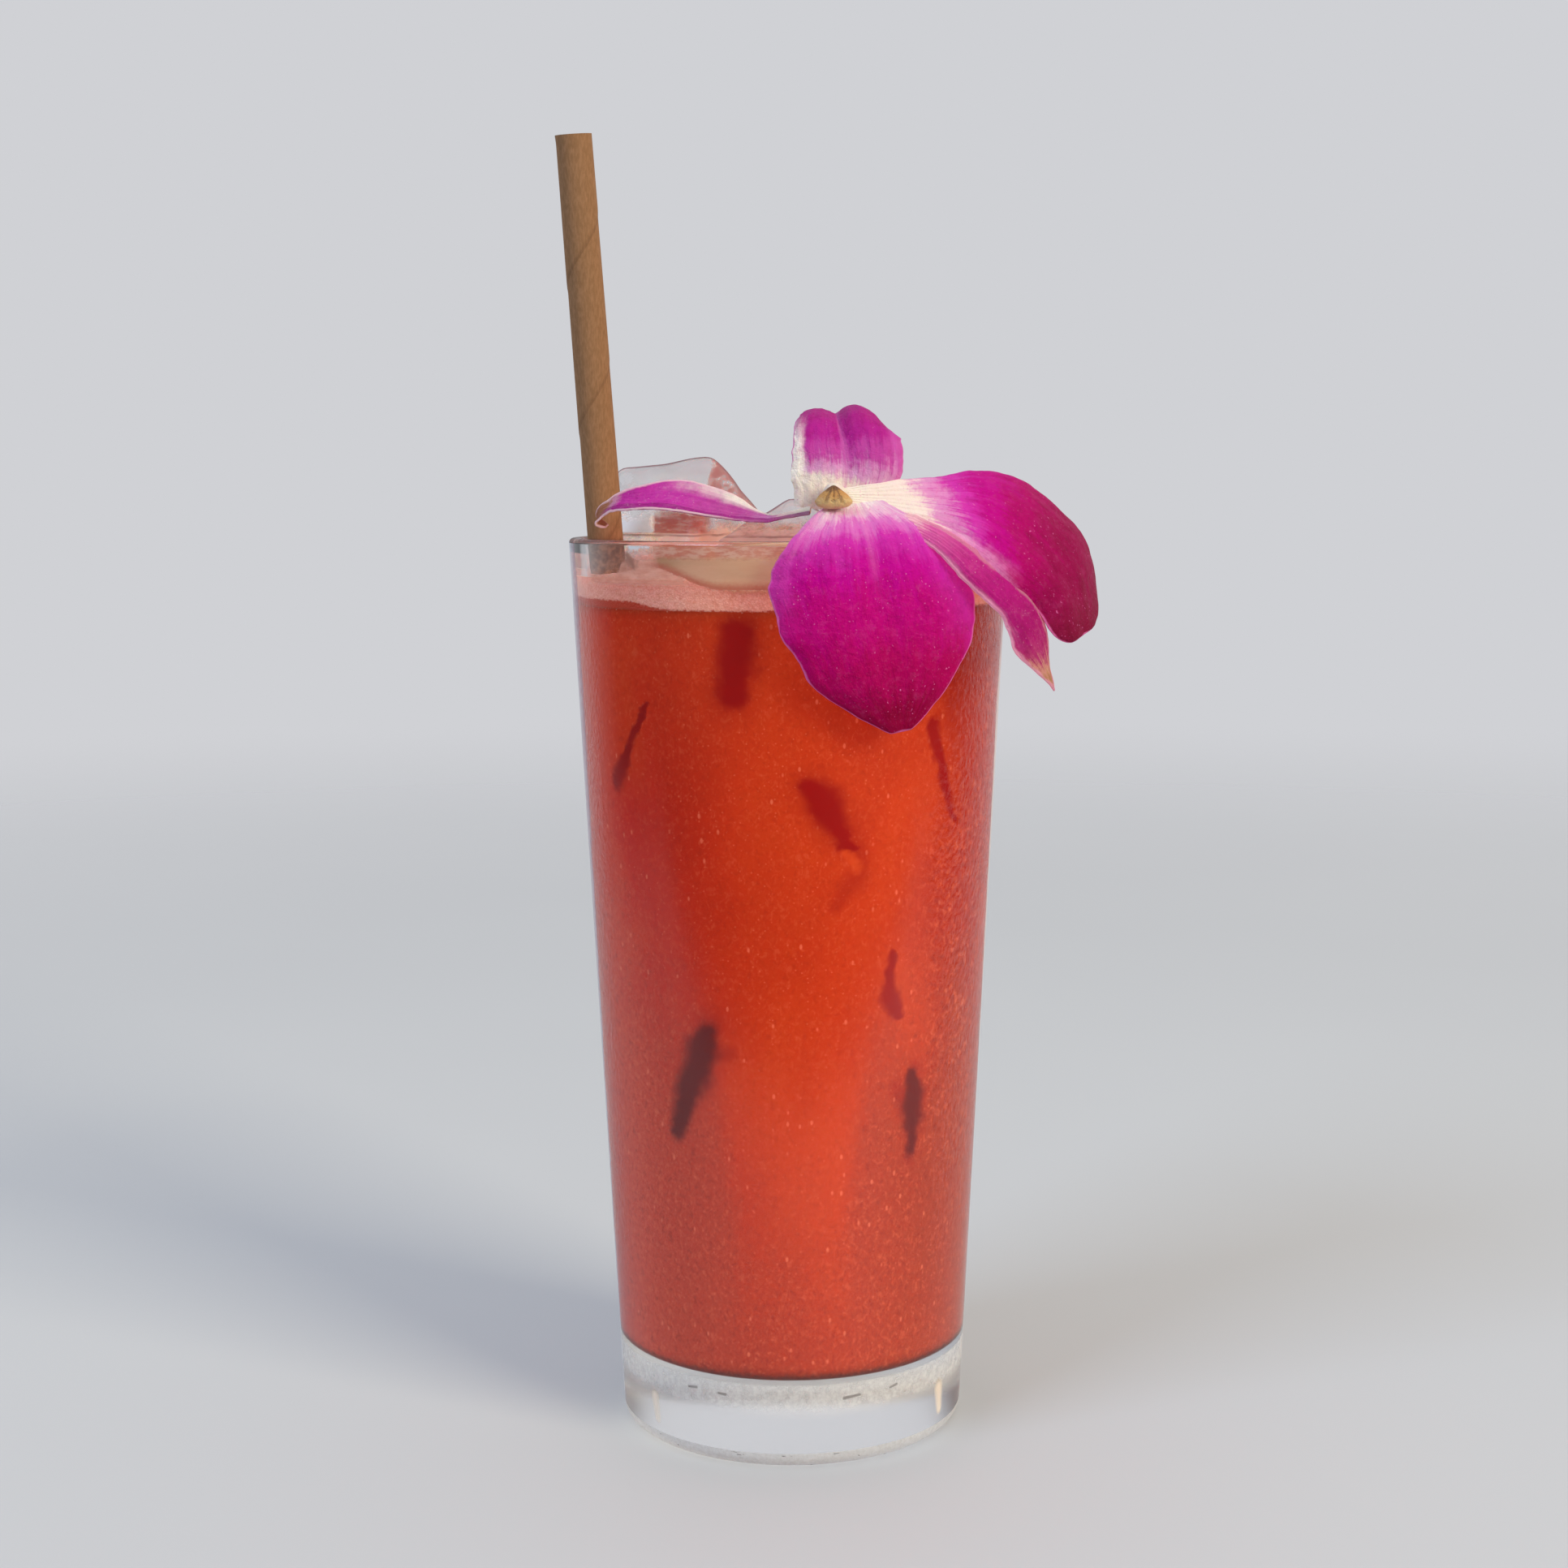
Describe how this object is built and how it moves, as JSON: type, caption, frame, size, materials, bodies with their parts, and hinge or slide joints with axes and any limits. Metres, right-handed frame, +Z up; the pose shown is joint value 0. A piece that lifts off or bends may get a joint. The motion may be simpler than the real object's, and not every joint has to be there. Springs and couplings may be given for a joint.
{
  "type": "strawberry lemonade",
  "caption": "Red strawberry lemonade with pale froth and ice in a tall tapered glass, with a paper straw and an orchid flower resting on the rim.",
  "frame": {"origin": "middle of the flat underside of the glass foot, on the surface it stands on", "axes": "+Z up along the axis of the glass, -Y towards the viewer of the picture, where the flower hangs, and +X to that viewer's right"},
  "size_m": [0.0889, 0.0794, 0.2209],
  "materials": {
    "glass": "clear, smooth",
    "drink": "cloudy liquid",
    "froth": "fine bubbles",
    "straw": "plain kraft paper",
    "ice": "wet, clear",
    "orchid_column": "satin petal",
    "orchid_cap": "satin petal",
    "orchid_tepal": "satin petal"
  },
  "bodies": {
    "root": {"glass": "glass", "drink": "drink", "froth": "froth", "straw": "straw", "ice_large": "ice", "ice_small": "ice", "orchid_column": "orchid_column", "orchid_cap": "orchid_cap", "orchid_sepal_upper": "orchid_tepal", "orchid_petal_front": "orchid_tepal", "orchid_petal_right": "orchid_tepal", "orchid_sepal_right": "orchid_tepal", "orchid_sepal_left": "orchid_tepal"}
  },
  "joints": []
}
